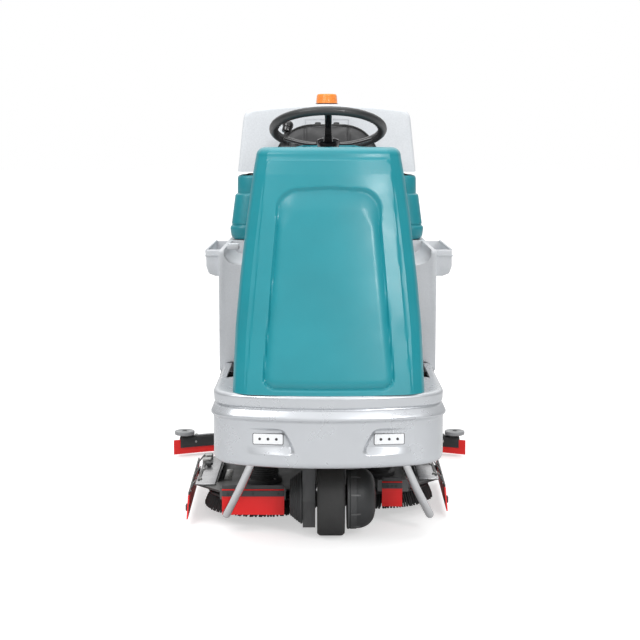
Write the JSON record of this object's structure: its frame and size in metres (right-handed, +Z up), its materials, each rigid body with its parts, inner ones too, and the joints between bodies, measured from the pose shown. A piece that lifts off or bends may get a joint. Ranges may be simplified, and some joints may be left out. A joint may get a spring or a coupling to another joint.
{
  "type": "ride-on scrubber",
  "caption": "Ride-on floor scrubber with a steered drive wheel, staggered disc brushes, a curved rear squeegee, solution and recovery tanks, and a driver's seat.",
  "frame": {"origin": "on the floor, under the centre of the machine's bounding box; the squeegee's and deck's centre line is X = 0 and the body's is X = 0.026", "axes": "+Z up, -Y forwards as the driver faces, +X to the driver's left"},
  "size_m": [1.102, 1.4631, 1.357],
  "materials": {
    "amber": "translucent",
    "black_rubber": "matte",
    "bristle": "nylon bristles",
    "cast_housing": "painted black",
    "dark_metal": "satin",
    "dark_plastic": "matte",
    "lid_plastic": "fine texture",
    "red_rubber": "satin",
    "signal_red": "gloss",
    "silver_paint": "satin",
    "steel": "satin",
    "tank_plastic": "fine texture",
    "teal_plastic": "gloss",
    "tyre": "matte",
    "vinyl": "grained vinyl over foam",
    "white_lens": "clear"
  },
  "bodies": {
    "chassis": {"chassis_frame": "dark_metal", "bumper_shell": "silver_paint", "headlight_left": "white_lens", "headlight_right": "white_lens", "front_cover": "teal_plastic", "console": "dark_plastic", "steering_column": "dark_metal", "platform": "dark_plastic", "step_block_left": "black_rubber", "step_block_right": "black_rubber", "deck_lift_tube": "steel", "guard_tube_left": "steel", "guard_tube_right": "steel", "rear_axle": "steel", "solution_tank": "tank_plastic", "battery_pack": "dark_plastic", "vacuum_motor": "cast_housing", "recovery_tank": "teal_plastic"},
    "steering_wheel": {"steering_wheel": "dark_plastic"},
    "direction_lever": {"direction_lever": "dark_metal"},
    "key_switch": {"key_switch": "steel"},
    "emergency_stop": {"emergency_stop": "signal_red"},
    "horn_button": {"horn_button": "dark_plastic"},
    "accelerator_pedal": {"accelerator_pedal": "dark_metal"},
    "brake_pedal": {"brake_pedal": "dark_metal"},
    "seat": {"seat_pan": "dark_metal", "seat_cushion": "vinyl", "seat_back": "vinyl"},
    "tank_lid": {"tank_lid": "lid_plastic", "beacon": "amber"},
    "drive_unit": {"drive_fork": "dark_metal", "drive_gear_case": "cast_housing", "drive_motor": "cast_housing"},
    "drive_wheel": {"drive_tyre": "tyre", "drive_hub": "cast_housing"},
    "rear_wheel_left": {"rear_tyre_left": "tyre", "rear_hub_left": "cast_housing"},
    "rear_wheel_right": {"rear_tyre_right": "tyre", "rear_hub_right": "cast_housing"},
    "brush_deck": {"deck_plate": "steel", "brush_motor_left": "cast_housing", "brush_motor_right": "cast_housing", "skirt_left": "red_rubber", "skirt_right": "red_rubber"},
    "brush_left": {"brush_left": "bristle"},
    "brush_right": {"brush_right": "bristle"},
    "side_blade_left": {"side_holder_left": "steel", "side_blade_left": "red_rubber"},
    "side_blade_right": {"side_holder_right": "steel", "side_blade_right": "red_rubber"},
    "squeegee_arm": {"squeegee_arm": "dark_metal"},
    "squeegee_head": {"squeegee_bar": "cast_housing", "squeegee_blade_front": "red_rubber", "squeegee_blade_rear": "red_rubber"},
    "roller_left": {"squeegee_roller_left": "dark_plastic"},
    "roller_right": {"squeegee_roller_right": "dark_plastic"},
    "caster_left": {"squeegee_caster_left": "black_rubber"},
    "caster_right": {"squeegee_caster_right": "black_rubber"},
    "filler_cap": {"filler_cap": "dark_plastic"},
    "drain_cap": {"drain_cap": "dark_plastic"}
  },
  "joints": [
    {"name": "drive_steer", "type": "hinge", "parent": "chassis", "child": "drive_unit", "pos_m": [0.034, -0.4986, 0.2775], "axis": [0, 0, 1], "range_deg": [-75, 75]},
    {"name": "steering_wheel_turn", "type": "hinge", "parent": "chassis", "child": "steering_wheel", "pos_m": [0.026, -0.305, 1.22], "axis": [0, 0.3173, 0.9483], "range_deg": [-225, 225]},
    {"name": "drive_wheel_roll", "type": "hinge", "parent": "drive_unit", "child": "drive_wheel", "pos_m": [0.034, -0.4986, 0.115], "axis": [1, 0, 0], "continuous": true},
    {"name": "rear_wheel_left_roll", "type": "hinge", "parent": "chassis", "child": "rear_wheel_left", "pos_m": [-0.264, 0.305, 0.13], "axis": [1, 0, 0], "continuous": true},
    {"name": "rear_wheel_right_roll", "type": "hinge", "parent": "chassis", "child": "rear_wheel_right", "pos_m": [0.316, 0.305, 0.13], "axis": [1, 0, 0], "continuous": true},
    {"name": "direction_lever_swing", "type": "hinge", "parent": "chassis", "child": "direction_lever", "pos_m": [-0.003, -0.33165, 1.14034], "axis": [0, 0.3173, 0.9483], "range_deg": [-12, 12]},
    {"name": "key_turn", "type": "hinge", "parent": "chassis", "child": "key_switch", "pos_m": [0.111, -0.334, 1.115], "axis": [0, 0.5397, 0.8419], "range_deg": [0, 60]},
    {"name": "emergency_stop_press", "type": "slide", "parent": "chassis", "child": "emergency_stop", "axis": [0, -0.5397, -0.8419], "range_m": [0, 0.005]},
    {"name": "horn_press", "type": "slide", "parent": "chassis", "child": "horn_button", "axis": [0, -0.5397, -0.8419], "range_m": [0, 0.004], "stiffness_N_per_m": 600},
    {"name": "accelerator_press", "type": "hinge", "parent": "chassis", "child": "accelerator_pedal", "pos_m": [-0.124, -0.285, 0.3965], "axis": [1, 0, 0], "range_deg": [0, 15], "stiffness_Nm_per_rad": 4, "springref_deg": -20.05},
    {"name": "brake_press", "type": "hinge", "parent": "chassis", "child": "brake_pedal", "pos_m": [-0.004, -0.285, 0.3965], "axis": [1, 0, 0], "range_deg": [0, 15], "stiffness_Nm_per_rad": 6, "springref_deg": -20.05},
    {"name": "seat_tilt", "type": "hinge", "parent": "chassis", "child": "seat", "pos_m": [0.026, -0.085, 0.7875], "axis": [1, 0, 0], "range_deg": [0, 40]},
    {"name": "lid_open", "type": "hinge", "parent": "chassis", "child": "tank_lid", "pos_m": [0.026, 0.685, 1.075], "axis": [-1, 0, 0], "range_deg": [0, 70]},
    {"name": "deck_lift", "type": "slide", "parent": "chassis", "child": "brush_deck", "axis": [0, 0, 1], "range_m": [-0.035, 0]},
    {"name": "brush_left_spin", "type": "hinge", "parent": "brush_deck", "child": "brush_left", "pos_m": [-0.182, -0.262, 0.096], "axis": [0, 0, 1], "continuous": true},
    {"name": "brush_right_spin", "type": "hinge", "parent": "brush_deck", "child": "brush_right", "pos_m": [0.184, -0.165, 0.096], "axis": [0, 0, 1], "continuous": true},
    {"name": "side_blade_left_swing", "type": "hinge", "parent": "brush_deck", "child": "side_blade_left", "pos_m": [-0.396, -0.409, 0.126], "axis": [0, 1, 0], "range_deg": [0, 20]},
    {"name": "side_blade_right_swing", "type": "hinge", "parent": "brush_deck", "child": "side_blade_right", "pos_m": [0.3875, -0.312, 0.126], "axis": [0, -1, 0], "range_deg": [0, 20]},
    {"name": "squeegee_lift", "type": "hinge", "parent": "chassis", "child": "squeegee_arm", "pos_m": [0, 0.465, 0.215], "axis": [1, 0, 0], "range_deg": [0, 12]},
    {"name": "squeegee_swing", "type": "hinge", "parent": "squeegee_arm", "child": "squeegee_head", "pos_m": [0, 0.59, 0.118], "axis": [0, 0, 1], "range_deg": [-10, 10]},
    {"name": "roller_left_spin", "type": "hinge", "parent": "squeegee_head", "child": "roller_left", "pos_m": [-0.513, 0.54298, 0.082], "axis": [0, 0, 1], "continuous": true},
    {"name": "caster_left_spin", "type": "hinge", "parent": "squeegee_head", "child": "caster_left", "pos_m": [-0.3, 0.66998, 0.03], "axis": [1, 0, 0], "continuous": true},
    {"name": "roller_right_spin", "type": "hinge", "parent": "squeegee_head", "child": "roller_right", "pos_m": [0.513, 0.54298, 0.082], "axis": [0, 0, 1], "continuous": true},
    {"name": "caster_right_spin", "type": "hinge", "parent": "squeegee_head", "child": "caster_right", "pos_m": [0.3, 0.66998, 0.03], "axis": [1, 0, 0], "continuous": true},
    {"name": "filler_cap_turn", "type": "hinge", "parent": "chassis", "child": "filler_cap", "pos_m": [0.226, 0.7123, 0.53], "axis": [0, 1, 0], "range_deg": [0, 90]},
    {"name": "drain_cap_turn", "type": "hinge", "parent": "chassis", "child": "drain_cap", "pos_m": [-0.154, 0.7123, 0.48], "axis": [0, 1, 0], "range_deg": [0, 90]}
  ],
  "couplings": [
    {"joint": "steering_wheel_turn", "follows": "drive_steer", "ratio": 3}
  ]
}
